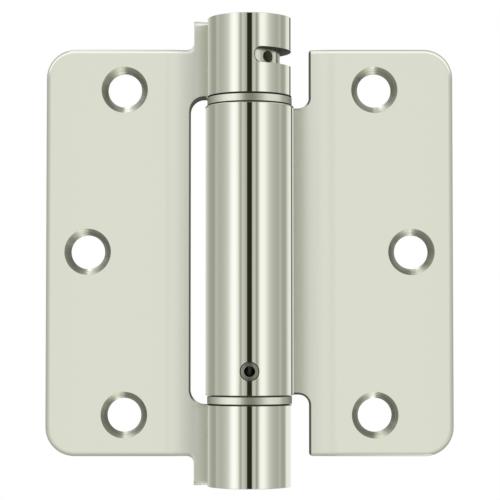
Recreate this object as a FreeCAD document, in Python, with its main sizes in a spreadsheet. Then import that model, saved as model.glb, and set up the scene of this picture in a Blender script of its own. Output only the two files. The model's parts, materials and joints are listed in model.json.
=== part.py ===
import FreeCAD, Part
import math
import os
import Sketcher

# Spring loaded door hinge, opened flat, barrel upright and toward the viewer.
# Millimetres. +Z runs up the barrel's axis, +X is the door leaf, -Y is the
# countersunk side that the viewer sees. The origin is on the barrel's axis at
# the leaves' mid-height.

SIZES = [
    ("barrel_length", 101.6, "from end to end of the two end knuckles"),
    ("middle_knuckle_length", 62.7, "long knuckle of the door leaf"),
    ("middle_knuckle_rise", 0.25, "middle of that knuckle above the leaves' mid-height"),
    ("knuckle_gap", 2.1, "space that a washer has between two knuckles"),
    ("washer_thickness", 1.6, "bearing washer"),
    ("washer_radius", 9.2, "outside of the bearing washer"),
    ("washer_bore", 6.72, "inside radius of the bearing washer"),
    ("leaf_height", 88.9, "both leaves"),
    ("leaf_reach", 44.45, "barrel axis to the leaf's outer edge"),
    ("leaf_thickness", 2.5, "sheet that the leaves and knuckles are rolled from"),
    ("leaf_gap", 2.0, "space left between the closed leaves"),
    ("end_knuckle_radius", 9.17, "outside of the frame leaf's two knuckles"),
    ("middle_knuckle_radius", 9.6, "outside of the door leaf's knuckle"),
    ("bend_radius", 24.0, "middle of the sheet, where the leaf bends back"),
    ("seam_gap", 0.3, "between the rolled end and the leaf's face"),
    ("corner_radius", 6.35, "outer corners of the leaves"),
    ("frame_slot_edge", 12.9, "barrel axis to the slot that clears the middle knuckle"),
    ("frame_slot_round", 3.2, "corners of that slot"),
    ("strip_edge", 12.15, "barrel axis to the edge of the end knuckles' strips"),
    ("strip_round", 1.45, "corner between strip and leaf, more than the front's rounding"),
    ("door_notch_edge", 13.0, "barrel axis to the notches that clear the end knuckles"),
    ("door_notch_round", 2.3, "inner corners of the notches"),
    ("tip_chamfer", 0.5, "tips of the door leaf beside the notches"),
    ("front_round", 1.0, "rounded front edge of the leaves and of the strips' ends"),
    ("rim_round", 0.1, "outer rims of the knuckles"),
    ("outer_screw_reach", 17.15, "leaf's outer edge to the top and bottom screw holes"),
    ("outer_screw_spacing", 8.95, "leaf's ends to the top and bottom screw holes"),
    ("middle_screw_reach", 9.15, "leaf's outer edge to the middle screw hole"),
    ("screw_hole_diameter", 7.4, "screw holes"),
    ("countersink_diameter", 10.15, "mouth of the screw holes"),
    ("countersink_angle", 82.0, "screw holes"),
    ("slot_height", 3.5, "tension slot round the top knuckle"),
    ("slot_rise", 8.15, "top knuckle's lower end to the middle of the slot"),
    ("slot_first_angle", 18.0, "front to the centre of the slot's first end"),
    ("slot_last_angle", 132.0, "front to the centre of the slot's last end"),
    ("pivot_clearance", 0.07, "turning pieces in the knuckles' bores"),
    ("end_recess", 0.8, "ends of the collar and plug below the knuckles' ends"),
    ("end_chamfer", 0.5, "ends of the collar and plug"),
    ("collar_head_length", 8.0, "collar inside the middle knuckle"),
    ("shoulder_play", 0.25, "collar and plug shoulders to the washers"),
    ("collar_hole_diameter", 2.6, "holes for the tension pin"),
    ("collar_hole_depth", 3.3, "holes for the tension pin"),
    ("collar_hole_angle", 37.4, "front to the hole that shows in the slot"),
    ("wrench_flats", 4.8, "socket for the tension wrench"),
    ("wrench_depth", 5.5, "socket for the tension wrench"),
    ("plug_head_length", 12.5, "plug inside the middle knuckle"),
    ("plug_clearance", 0.03, "plug in the middle knuckle, which the pin locks"),
    ("anchor_pin_level", 5.2, "middle knuckle's lower end to the anchor pin"),
    ("anchor_pin_diameter", 3.8, "hollow pin through knuckle and plug"),
    ("anchor_pin_bore", 2.42, "hollow pin"),
    ("anchor_pin_length", 15.0, "hollow pin"),
    ("anchor_pin_recess", 0.15, "pin below the knuckle's surface"),
    ("anchor_mouth_gap", 0.2, "round the pin in the knuckle's wall"),
    ("anchor_fit_gap", 0.02, "round the pin in the plug"),
    ("wire_side", 2.2, "square spring wire"),
    ("coil_gap", 0.3, "least space between the spring's turns"),
    ("spring_radius", 6.4, "outside of the spring"),
    ("spring_end_gap", 0.1, "spring to the faces of the collar and plug"),
    ("tang_length", 4.0, "bent spring ends in their slots"),
    ("tang_play", 0.1, "each side of a spring end in its slot"),
]

COLLAR_HOLES = 6
OVERCUT = 3.0
NEAR = 0.01


def fill_sheet(doc):
    sheet = doc.addObject("Spreadsheet::Sheet", "sizes")
    for row, (alias, value, note) in enumerate(SIZES, start=1):
        sheet.set(f"A{row}", alias)
        sheet.set(f"B{row}", str(value))
        sheet.set(f"C{row}", note)
        sheet.setAlias(f"B{row}", alias)
    doc.recompute()
    return sheet


def origin_plane(body, role):
    return next(f for f in body.Origin.OriginFeatures if f.Role == role)


def new_body(doc, label):
    body = doc.addObject("PartDesign::Body", label)
    body.Label = label
    return body


def new_sketch(body, name, role, turn=None):
    """A sketch on an origin plane, turned about the barrel's axis by turn."""
    sketch = body.newObject("Sketcher::SketchObject", name)
    sketch.AttachmentSupport = (origin_plane(body, role), "")
    sketch.MapMode = "FlatFace"
    if turn is not None:
        about = FreeCAD.Vector(0, 1, 0)
        sketch.AttachmentOffset = FreeCAD.Placement(FreeCAD.Vector(), FreeCAD.Rotation(about, 1))
        sketch.setExpression("AttachmentOffset.Rotation.Angle", turn)
    return sketch


def bind(sketch, constraint, name, formula):
    """Add a constraint whose value follows a formula of the sheet's sizes."""
    index = sketch.addConstraint(constraint)
    sketch.renameConstraint(index, name)
    sketch.setExpression(f"Constraints.{name}", formula)


def value_of(doc, formula):
    """The number that a formula of the sheet's sizes gives now."""
    return float(doc.getObject("sizes").evalExpression(formula.replace("sizes.", "")))


def add_rectangle(sketch, name, left, right, low, high):
    """A rectangle from four formulas, measured from the sketch's origin."""
    doc = sketch.Document
    x0, x1, y0, y1 = [value_of(doc, f) for f in (left, right, low, high)]
    corners = [(x0, y0), (x1, y0), (x1, y1), (x0, y1)]
    first = sketch.GeometryCount
    for here, there in zip(corners, corners[1:] + corners[:1]):
        sketch.addGeometry(Part.LineSegment(FreeCAD.Vector(*here, 0), FreeCAD.Vector(*there, 0)))
    for side in range(4):
        after = first + (side + 1) % 4
        sketch.addConstraint(Sketcher.Constraint("Coincident", first + side, 2, after, 1))
        kind = ("Horizontal", "Vertical")[side % 2]
        sketch.addConstraint(Sketcher.Constraint(kind, first + side))
    bind(sketch, Sketcher.Constraint("DistanceX", -1, 1, first, 1, x0), name + "_left", left)
    bind(sketch, Sketcher.Constraint("DistanceX", -1, 1, first, 2, x1), name + "_right", right)
    bind(sketch, Sketcher.Constraint("DistanceY", -1, 1, first, 1, y0), name + "_low", low)
    bind(sketch, Sketcher.Constraint("DistanceY", -1, 1, first + 2, 1, y1), name + "_high", high)


def add_circle(sketch, name, across, up, diameter):
    """A circle from three formulas, measured from the sketch's origin."""
    doc = sketch.Document
    x, y, d = [value_of(doc, f) for f in (across, up, diameter)]
    axis = FreeCAD.Vector(0, 0, 1)
    ring = sketch.addGeometry(Part.Circle(FreeCAD.Vector(x, y, 0), axis, d / 2))
    bind(sketch, Sketcher.Constraint("Diameter", ring, d), name + "_diameter", diameter)
    bind(sketch, Sketcher.Constraint("DistanceX", -1, 1, ring, 3, x), name + "_across", across)
    bind(sketch, Sketcher.Constraint("DistanceY", -1, 1, ring, 3, y), name + "_up", up)


def cut(body, sketch, side="Symmetric", length=None, outward=False):
    """Pocket a sketch: through everything both ways, or one way for a length."""
    pocket = body.newObject("PartDesign::Pocket", sketch.Name + "_cut")
    pocket.Profile = sketch
    pocket.SideType = side
    if length is None:
        pocket.Type = "ThroughAll"
    else:
        pocket.setExpression("Length", length)
    pocket.Reversed = outward
    body.Document.recompute()
    return pocket


def dress_edges(body, kind, name, size, wanted):
    """Fillet or chamfer the edges of the body's shape for which wanted is true."""
    base = body.Tip
    names = [f"Edge{i}" for i, edge in enumerate(base.Shape.Edges, start=1) if wanted(edge)]
    if not names:
        raise RuntimeError(f"{name}: no edge found")
    dressing = body.newObject(f"PartDesign::{kind}", name)
    dressing.Base = (base, names)
    dressing.setExpression({"Fillet": "Radius", "Chamfer": "Size"}[kind], size)
    body.Document.recompute()


def round_edges(body, name, radius, wanted):
    dress_edges(body, "Fillet", name, radius, wanted)


def ring_at(radius, *levels):
    """Finds the round edges about the barrel's axis at one radius and some levels."""
    def wanted(edge):
        ring = edge.Curve
        return (
            isinstance(ring, Part.Circle)
            and abs(ring.Radius - radius) < NEAR
            and math.hypot(ring.Center.x, ring.Center.y) < NEAR
            and any(abs(ring.Center.z - level) < NEAR for level in levels)
        )
    return wanted


def upright_corner(x, *levels):
    """Finds the edges that run through the sheet at some corners of its outline."""
    def wanted(edge):
        ends = edge.Vertexes
        return (
            len(ends) == 2
            and abs(ends[0].Z - ends[1].Z) < NEAR
            and all(abs(v.X - x) < NEAR for v in ends)
            and any(abs(ends[0].Z - level) < NEAR for level in levels)
        )
    return wanted


# Leaf blanks, drawn for a leaf on the -X side of the barrel

FRONT_BEND = "(sizes.bend_radius + sizes.leaf_thickness / 2)"
BACK_BEND = "(sizes.bend_radius - sizes.leaf_thickness / 2)"
BEND_BEHIND = f"(sizes.leaf_gap / 2 + {FRONT_BEND})"
END_ROLL = "(sizes.end_knuckle_radius + sizes.bend_radius - sizes.leaf_thickness / 2)"


def leaf_section(body, knuckle_radius):
    """The sheet seen along the barrel: flat leaf, bend, roll and seam."""
    doc = body.Document
    thickness = value_of(doc, "sizes.leaf_thickness")
    outside = value_of(doc, knuckle_radius)
    inside = outside - thickness
    front = value_of(doc, "sizes.leaf_gap") / 2
    back = front + thickness
    reach = value_of(doc, "sizes.leaf_reach")
    bend = value_of(doc, "sizes.bend_radius")
    seam = value_of(doc, "sizes.seam_gap")
    front_bend = bend + thickness / 2
    back_bend = bend - thickness / 2
    between = bend + outside - thickness / 2
    centre_y = front + front_bend
    centre_x = -math.sqrt(between ** 2 - centre_y ** 2)
    centre = FreeCAD.Vector(centre_x, centre_y, 0)
    origin = FreeCAD.Vector()
    up = FreeCAD.Vector(0, 0, 1)
    touch = math.atan2(-centre_y, -centre_x)
    wrap_end = touch + math.pi + 2 * math.pi

    def seam_point(radius):
        cosine = (between ** 2 + radius ** 2 - (front_bend + seam) ** 2) / (2 * between * radius)
        angle = touch + math.pi + math.acos(cosine)
        return angle, FreeCAD.Vector(math.cos(angle), math.sin(angle), 0) * radius

    inner_angle, inner_point = seam_point(inside)
    outer_angle, outer_point = seam_point(outside)
    from_inner = inner_point - centre
    from_outer = outer_point - centre

    def line(x0, y0, x1, y1):
        return Part.LineSegment(FreeCAD.Vector(x0, y0, 0), FreeCAD.Vector(x1, y1, 0))

    def arc(middle, radius, start, end):
        return Part.ArcOfCircle(Part.Circle(middle, up, radius), start, end)

    sketch = new_sketch(body, body.Name + "_section", "XY_Plane")
    down = -math.pi / 2
    sketch.addGeometry([
        line(-reach, front, centre_x, front),
        arc(centre, front_bend, down, touch),
        arc(origin, inside, inner_angle, wrap_end),
        arc(centre, front_bend + seam, math.atan2(from_outer.y, from_outer.x),
            math.atan2(from_inner.y, from_inner.x)),
        arc(origin, outside, outer_angle, wrap_end),
        arc(centre, back_bend, down, touch),
        line(centre_x, back, -reach, back),
        line(-reach, back, -reach, front),
    ], False)
    front_line, front_arc, bore_arc, seam_arc, roll_arc, back_arc, back_line, edge_line = range(8)
    for joint in (
        ("Tangent", front_line, 2, front_arc, 1),
        ("Tangent", front_arc, 2, bore_arc, 2),
        ("Coincident", bore_arc, 1, seam_arc, 2),
        ("Coincident", seam_arc, 1, roll_arc, 1),
        ("Tangent", roll_arc, 2, back_arc, 2),
        ("Tangent", back_arc, 1, back_line, 1),
        ("Coincident", back_line, 2, edge_line, 1),
        ("Coincident", edge_line, 2, front_line, 1),
        ("Coincident", bore_arc, 3, -1, 1),
        ("Coincident", roll_arc, 3, -1, 1),
        ("Coincident", seam_arc, 3, front_arc, 3),
        ("Horizontal", front_line),
        ("Horizontal", back_line),
        ("Vertical", edge_line),
    ):
        sketch.addConstraint(Sketcher.Constraint(*joint))
    for name, formula, constraint in (
        ("reach", "-sizes.leaf_reach", ("DistanceX", -1, 1, front_line, 1, -reach)),
        ("front", "sizes.leaf_gap / 2", ("DistanceY", -1, 1, front_line, 1, front)),
        ("sheet", "sizes.leaf_thickness", ("DistanceY", edge_line, 2, edge_line, 1, thickness)),
        ("bore", f"{knuckle_radius} - sizes.leaf_thickness", ("Radius", bore_arc, inside)),
        ("roll", knuckle_radius, ("Radius", roll_arc, outside)),
        ("front_bend", FRONT_BEND, ("Radius", front_arc, front_bend)),
        ("back_bend", BACK_BEND, ("Radius", back_arc, back_bend)),
        ("seam", f"{FRONT_BEND} + sizes.seam_gap", ("Radius", seam_arc, front_bend + seam)),
    ):
        bind(sketch, Sketcher.Constraint(*constraint), name, formula)
    return sketch


def leaf_blank(doc, label, knuckle_radius, length):
    body = new_body(doc, label)
    section = leaf_section(body, knuckle_radius)
    pad = body.newObject("PartDesign::Pad", label + "_blank")
    pad.Profile = section
    pad.SideType = "Symmetric"
    pad.setExpression("Length", length)
    doc.recompute()
    return body


def drill_screw_holes(body):
    """Three countersunk holes, entered from the front face."""
    doc = body.Document
    sketch = new_sketch(body, body.Name + "_holes", "XZ_Plane")
    sketch.setExpression("AttachmentOffset.Base.z", "-sizes.leaf_gap / 2")
    diameter = "sizes.screw_hole_diameter"
    across = "sizes.outer_screw_reach - sizes.leaf_reach"
    up = f"{LEAF_TOP} - sizes.outer_screw_spacing"
    add_circle(sketch, "top", across, up, diameter)
    add_circle(sketch, "low", across, f"-({up})", diameter)
    add_circle(sketch, "middle", "sizes.middle_screw_reach - sizes.leaf_reach", "0", diameter)
    doc.recompute()
    hole = body.newObject("PartDesign::Hole", body.Name + "_countersinks")
    hole.Profile = sketch
    doc.recompute()
    hole.DepthType = "ThroughAll"
    hole.setExpression("Diameter", diameter)
    hole.HoleCutType = "Countersink"
    hole.HoleCutCustomValues = True
    hole.setExpression("HoleCutDiameter", "sizes.countersink_diameter")
    hole.setExpression("HoleCutCountersinkAngle", "sizes.countersink_angle")
    doc.recompute()
    return hole


TOP = "sizes.barrel_length / 2"
LEAF_TOP = "sizes.leaf_height / 2"
SHEET_TOP = f"max({TOP}; {LEAF_TOP})"
ROUGH_STRIP = "(-sizes.strip_edge - sizes.front_round)"
MIDDLE_TOP = "(sizes.middle_knuckle_rise + sizes.middle_knuckle_length / 2)"
MIDDLE_FOOT = "(sizes.middle_knuckle_rise - sizes.middle_knuckle_length / 2)"
TOP_KNUCKLE_FOOT = f"({MIDDLE_TOP} + sizes.knuckle_gap)"
LOW_KNUCKLE_HEAD = f"({MIDDLE_FOOT} - sizes.knuckle_gap)"
SLOT_LEVEL = f"({TOP_KNUCKLE_FOOT} + sizes.slot_rise)"
PIN_LEVEL = f"({MIDDLE_FOOT} + sizes.anchor_pin_level)"
PAST_ROLL = f"sizes.middle_knuckle_radius + {OVERCUT}"
PAST_LEAF = f"-sizes.leaf_reach - {OVERCUT}"
PAST_TOP = f"({SHEET_TOP} + {OVERCUT})"


def points_along(edge):
    first, last = edge.ParameterRange
    return [edge.valueAt(first + (last - first) * k / 4) for k in range(5)]


def front_edges(doc, knuckle_radius, kept):
    """Finds the outline's edges on the sheet's front side, where kept is true."""
    front = value_of(doc, "sizes.leaf_gap") / 2
    radius = value_of(doc, FRONT_BEND)
    between = value_of(doc, f"{knuckle_radius} + sizes.bend_radius - sizes.leaf_thickness / 2")
    start = -math.sqrt(between ** 2 - (front + radius) ** 2)

    def on_front(point):
        if point.x < start:
            return abs(point.y - front) < NEAR
        return abs(math.hypot(point.x - start, point.y - front - radius) - radius) < NEAR

    def wanted(edge):
        points = points_along(edge)
        fold = all(abs(point.x - start) < NEAR for point in points)
        return not fold and all(on_front(point) and kept(point) for point in points)

    return wanted


def frame_leaf(doc):
    end_radius = "sizes.end_knuckle_radius"
    body = leaf_blank(doc, "frame_leaf", end_radius, f"2 * {SHEET_TOP}")
    outline = new_sketch(body, "frame_outline", "XZ_Plane")
    side = "-sizes.frame_slot_edge"
    add_rectangle(outline, "slot", side, PAST_ROLL, LOW_KNUCKLE_HEAD, TOP_KNUCKLE_FOOT)
    add_rectangle(outline, "over", PAST_LEAF, ROUGH_STRIP, LEAF_TOP, PAST_TOP)
    add_rectangle(outline, "under", PAST_LEAF, ROUGH_STRIP, f"-{PAST_TOP}", f"-{LEAF_TOP}")
    cut(body, outline)
    ends = new_sketch(body, "barrel_ends", "XZ_Plane")
    add_rectangle(ends, "over", ROUGH_STRIP, PAST_ROLL, TOP, PAST_TOP)
    add_rectangle(ends, "under", ROUGH_STRIP, PAST_ROLL, f"-{PAST_TOP}", f"-{TOP}")
    cut(body, ends)
    reach, half, top = [value_of(doc, f) for f in ("sizes.leaf_reach", LEAF_TOP, TOP)]
    strip, slot = value_of(doc, ROUGH_STRIP), value_of(doc, "sizes.frame_slot_edge")
    foot, head = value_of(doc, TOP_KNUCKLE_FOOT), value_of(doc, LOW_KNUCKLE_HEAD)
    inner = min(half, top)
    rough_round = "sizes.strip_round - sizes.front_round"
    round_edges(body, "frame_corners", "sizes.corner_radius", upright_corner(-reach, half, -half))
    round_edges(body, "strip_corners", rough_round, upright_corner(strip, inner, -inner))
    round_edges(body, "slot_corners", "sizes.frame_slot_round", upright_corner(-slot, foot, head))
    seam_side = -value_of(doc, end_radius) / 2

    def outer(point):
        on_leaf = point.x < -slot - NEAR or abs(point.z) > inner - NEAR
        return on_leaf and point.x < seam_side

    round_edges(body, "frame_front", "sizes.front_round", front_edges(doc, end_radius, outer))
    trim_strips(body)
    round_strip_ends(body)
    radius = value_of(doc, end_radius)
    round_edges(body, "frame_rims", "sizes.rim_round", ring_at(radius, top, -top, foot, head))
    cut_tension_slot(body)
    drill_screw_holes(body)
    return body


def trim_strips(body):
    """Sharp sides of the end knuckles' strips, where the rounded front runs out."""
    doc = body.Document
    sketch = new_sketch(body, "strip_sides", "XZ_Plane")
    middle_x, middle_z = "-sizes.strip_edge - sizes.strip_round", f"{LEAF_TOP} + sizes.strip_round"
    radius, past = "sizes.strip_round", PAST_TOP
    x, z, r, high = [value_of(doc, f) for f in (middle_x, middle_z, radius, past)]
    up = FreeCAD.Vector(0, 0, 1)
    for name, sign, turns in (("over", 1, (-math.pi / 2, 0)), ("under", -1, (0, math.pi / 2))):
        corners = [(x + r, sign * z), (x + r, sign * high), (x, sign * high), (x, sign * (z - r))]
        middle = FreeCAD.Vector(x, sign * z, 0)
        arc = sketch.addGeometry(Part.ArcOfCircle(Part.Circle(middle, up, r), *turns))
        for here, there in zip(corners, corners[1:]):
            sketch.addGeometry(Part.LineSegment(FreeCAD.Vector(*here, 0), FreeCAD.Vector(*there, 0)))
        on_leaf, on_strip = (1, 2) if sign > 0 else (2, 1)
        for joint in (
            ("Coincident", arc, on_strip, arc + 1, 1),
            ("Coincident", arc + 1, 2, arc + 2, 1),
            ("Coincident", arc + 2, 2, arc + 3, 1),
            ("Coincident", arc + 3, 2, arc, on_leaf),
            ("Vertical", arc + 1),
            ("Horizontal", arc + 2),
            ("Vertical", arc + 3),
            ("Horizontal", arc, 3, arc, on_strip),
            ("Vertical", arc, 3, arc, on_leaf),
        ):
            sketch.addConstraint(Sketcher.Constraint(*joint))
        for part, formula, constraint in (
            ("radius", radius, ("Radius", arc, r)),
            ("across", middle_x, ("DistanceX", -1, 1, arc, 3, x)),
            ("up", f"{sign} * ({middle_z})", ("DistanceY", -1, 1, arc, 3, sign * z)),
            ("past", f"{sign} * {past}", ("DistanceY", -1, 1, arc + 2, 1, sign * high)),
        ):
            bind(sketch, Sketcher.Constraint(*constraint), f"{name}_{part}", formula)
    doc.recompute()
    cut(body, sketch)


def round_strip_ends(body):
    """The rounded front edge at the strips' ends, which follows the bend."""
    doc = body.Document
    touch = f"asin({BEND_BEHIND} / {END_ROLL})"
    bend_x = f"-sqrt({END_ROLL} ^ 2 - {BEND_BEHIND} ^ 2)"
    side = f"acos(({ROUGH_STRIP} - ({bend_x})) / {FRONT_BEND})"
    middle = f"-({side} + {touch}) / 2"
    sketch = new_sketch(body, "strip_ends", "XZ_Plane", middle)
    sketch.setExpression("AttachmentOffset.Base.x", bend_x)
    sketch.setExpression("AttachmentOffset.Base.z", f"-{BEND_BEHIND}")
    radius, in_seam = "sizes.front_round", "sizes.seam_gap / 2"
    front, low, past = FRONT_BEND, f"({TOP} - {radius})", PAST_TOP
    x, z, r, gap, high = [value_of(doc, f) for f in (front, low, radius, in_seam, past)]
    up = FreeCAD.Vector(0, 0, 1)
    for name, sign, turns in (("over", 1, (0, math.pi / 2)), ("under", -1, (-math.pi / 2, 0))):
        corners = [(x, z), (x + gap, z), (x + gap, high), (x - r, high), (x - r, z + r)]
        middle = FreeCAD.Vector(x - r, sign * z, 0)
        arc = sketch.addGeometry(Part.ArcOfCircle(Part.Circle(middle, up, r), *turns))
        for here, there in zip(corners, corners[1:]):
            ends = [FreeCAD.Vector(across, sign * level, 0) for across, level in (here, there)]
            sketch.addGeometry(Part.LineSegment(*ends))
        on_front, on_end = (1, 2) if sign > 0 else (2, 1)
        for joint in (
            ("Coincident", arc, on_front, arc + 1, 1),
            ("Coincident", arc + 1, 2, arc + 2, 1),
            ("Coincident", arc + 2, 2, arc + 3, 1),
            ("Coincident", arc + 3, 2, arc + 4, 1),
            ("Coincident", arc + 4, 2, arc, on_end),
            ("Horizontal", arc + 1),
            ("Vertical", arc + 2),
            ("Horizontal", arc + 3),
            ("Vertical", arc + 4),
            ("Horizontal", arc, 3, arc, on_front),
            ("Vertical", arc, 3, arc, on_end),
        ):
            sketch.addConstraint(Sketcher.Constraint(*joint))
        for part, formula, constraint in (
            ("radius", radius, ("Radius", arc, r)),
            ("front", front, ("DistanceX", -1, 1, arc, on_front, x)),
            ("low", f"{sign} * {low}", ("DistanceY", -1, 1, arc, 3, sign * z)),
            ("gap", f"{front} + {in_seam}", ("DistanceX", -1, 1, arc + 2, 1, x + gap)),
            ("past", f"{sign} * {past}", ("DistanceY", -1, 1, arc + 3, 1, sign * high)),
        ):
            bind(sketch, Sketcher.Constraint(*constraint), f"{name}_{part}", formula)
    doc.recompute()
    groove = body.newObject("PartDesign::Groove", "strip_ends_cut")
    groove.Profile = sketch
    groove.ReferenceAxis = (sketch, ["V_Axis"])
    groove.Midplane = True
    groove.setExpression("Angle", f"{side} - {touch}")
    doc.recompute()


def cut_tension_slot(body):
    """A slot part way round the top knuckle, with round ends."""
    doc = body.Document
    middle = "(sizes.slot_first_angle + sizes.slot_last_angle) / 2 - 90"
    band = new_sketch(body, "tension_slot", "XZ_Plane", middle)
    half = "sizes.slot_height / 2"
    inside = "sizes.end_knuckle_radius / 2"
    outside = f"sizes.end_knuckle_radius + {OVERCUT}"
    add_rectangle(band, "slot", inside, outside, f"{SLOT_LEVEL} - {half}", f"{SLOT_LEVEL} + {half}")
    groove = body.newObject("PartDesign::Groove", "tension_slot_cut")
    groove.Profile = band
    groove.ReferenceAxis = (band, ["V_Axis"])
    groove.Midplane = True
    groove.setExpression("Angle", "sizes.slot_last_angle - sizes.slot_first_angle")
    doc.recompute()
    for name in ("first", "last"):
        end = new_sketch(body, f"slot_{name}_end", "XZ_Plane", f"sizes.slot_{name}_angle")
        add_circle(end, "round", "0", SLOT_LEVEL, "sizes.slot_height")
        cut(body, end, "One side", outside, True)


def door_leaf(doc):
    """Drawn upside down on the -X side, like the frame leaf, then turned over."""
    middle_radius = "sizes.middle_knuckle_radius"
    body = leaf_blank(doc, "door_leaf", middle_radius, "sizes.leaf_height")
    outline = new_sketch(body, "door_outline", "XZ_Plane")
    side = "-sizes.door_notch_edge"
    add_rectangle(outline, "upper", side, PAST_ROLL, f"-{MIDDLE_FOOT}", PAST_TOP)
    add_rectangle(outline, "lower", side, PAST_ROLL, f"-{PAST_TOP}", f"-{MIDDLE_TOP}")
    cut(body, outline)
    reach, half = value_of(doc, "sizes.leaf_reach"), value_of(doc, LEAF_TOP)
    notch = value_of(doc, "sizes.door_notch_edge")
    foot, head = -value_of(doc, MIDDLE_TOP), -value_of(doc, MIDDLE_FOOT)
    round_edges(body, "door_corners", "sizes.corner_radius", upright_corner(-reach, half, -half))
    dress_edges(body, "Chamfer", "door_tips", "sizes.tip_chamfer", upright_corner(-notch, half, -half))
    round_edges(body, "notch_corners", "sizes.door_notch_round", upright_corner(-notch, foot, head))

    def outer(point):
        return point.x < -notch - NEAR

    round_edges(body, "door_front", "sizes.front_round", front_edges(doc, middle_radius, outer))
    radius = value_of(doc, middle_radius)
    round_edges(body, "door_rims", "sizes.rim_round", ring_at(radius, foot, head))
    drill_screw_holes(body)
    mouth = new_sketch(body, "anchor_mouth", "XZ_Plane")
    width = "sizes.anchor_pin_diameter + 2 * sizes.anchor_mouth_gap"
    add_circle(mouth, "mouth", "0", f"-{PIN_LEVEL}", width)
    cut(body, mouth, "One side", PAST_ROLL, True)
    turned_over = FreeCAD.Rotation(FreeCAD.Vector(0, 1, 0), 180)
    body.Placement = FreeCAD.Placement(FreeCAD.Vector(), turned_over)
    return body


# Turned pieces

def turned(doc, label, steps):
    """A round piece from (radius, low, high) formulas, stacked along the axis."""
    body = new_body(doc, label)
    for index, (inner, outer, low, high) in enumerate(steps):
        sketch = new_sketch(body, f"{label}_step{index}", "XZ_Plane")
        add_rectangle(sketch, "step", inner, outer, low, high)
        turn = body.newObject("PartDesign::Revolution", f"{label}_turn{index}")
        turn.Profile = sketch
        turn.ReferenceAxis = (sketch, ["V_Axis"])
        turn.Angle = 360
        doc.recompute()
    return body


def washer(doc, label, level):
    half = "sizes.washer_thickness / 2"
    step = ("sizes.washer_bore", "sizes.washer_radius", f"{level} - {half}", f"{level} + {half}")
    return turned(doc, label, [step])


UPPER_WASHER = f"({MIDDLE_TOP} + sizes.knuckle_gap / 2)"
LOWER_WASHER = f"({MIDDLE_FOOT} - sizes.knuckle_gap / 2)"
UNDER_WASHER = "(sizes.washer_thickness / 2 + sizes.shoulder_play)"
COLLAR_SHOULDER = f"({UPPER_WASHER} - {UNDER_WASHER})"
PLUG_SHOULDER = f"({LOWER_WASHER} + {UNDER_WASHER})"
END_PIVOT = "sizes.end_knuckle_radius - sizes.leaf_thickness - sizes.pivot_clearance"
COLLAR_HEAD = "sizes.middle_knuckle_radius - sizes.leaf_thickness - sizes.pivot_clearance"
PLUG_HEAD = "sizes.middle_knuckle_radius - sizes.leaf_thickness - sizes.plug_clearance"
COLLAR_FOOT = f"({COLLAR_SHOULDER} - sizes.collar_head_length)"
COLLAR_TOP = f"({TOP} - sizes.end_recess)"
PLUG_TOP = f"({PLUG_SHOULDER} + sizes.plug_head_length)"
PLUG_FOOT = f"(sizes.end_recess - {TOP})"
WIRE_INSIDE = "(sizes.spring_radius - sizes.wire_side)"
SPRING_FOOT = f"({PLUG_TOP} + sizes.spring_end_gap)"
SPRING_HEAD = f"({COLLAR_FOOT} - sizes.spring_end_gap)"


def tang_slot(body, level, near, far, outward):
    """The slot that a bent spring end sits in, milled into one end."""
    sketch = new_sketch(body, body.Name + "_tang_slot", "XY_Plane")
    sketch.setExpression("AttachmentOffset.Base.z", level)
    inner = f"{WIRE_INSIDE} - sizes.tang_play"
    outer = f"sizes.middle_knuckle_radius + {OVERCUT}"
    add_rectangle(sketch, "slot", inner, outer, f"{near} - sizes.tang_play", f"{far} + sizes.tang_play")
    cut(body, sketch, "One side", "sizes.tang_length + sizes.spring_end_gap", outward)


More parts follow.
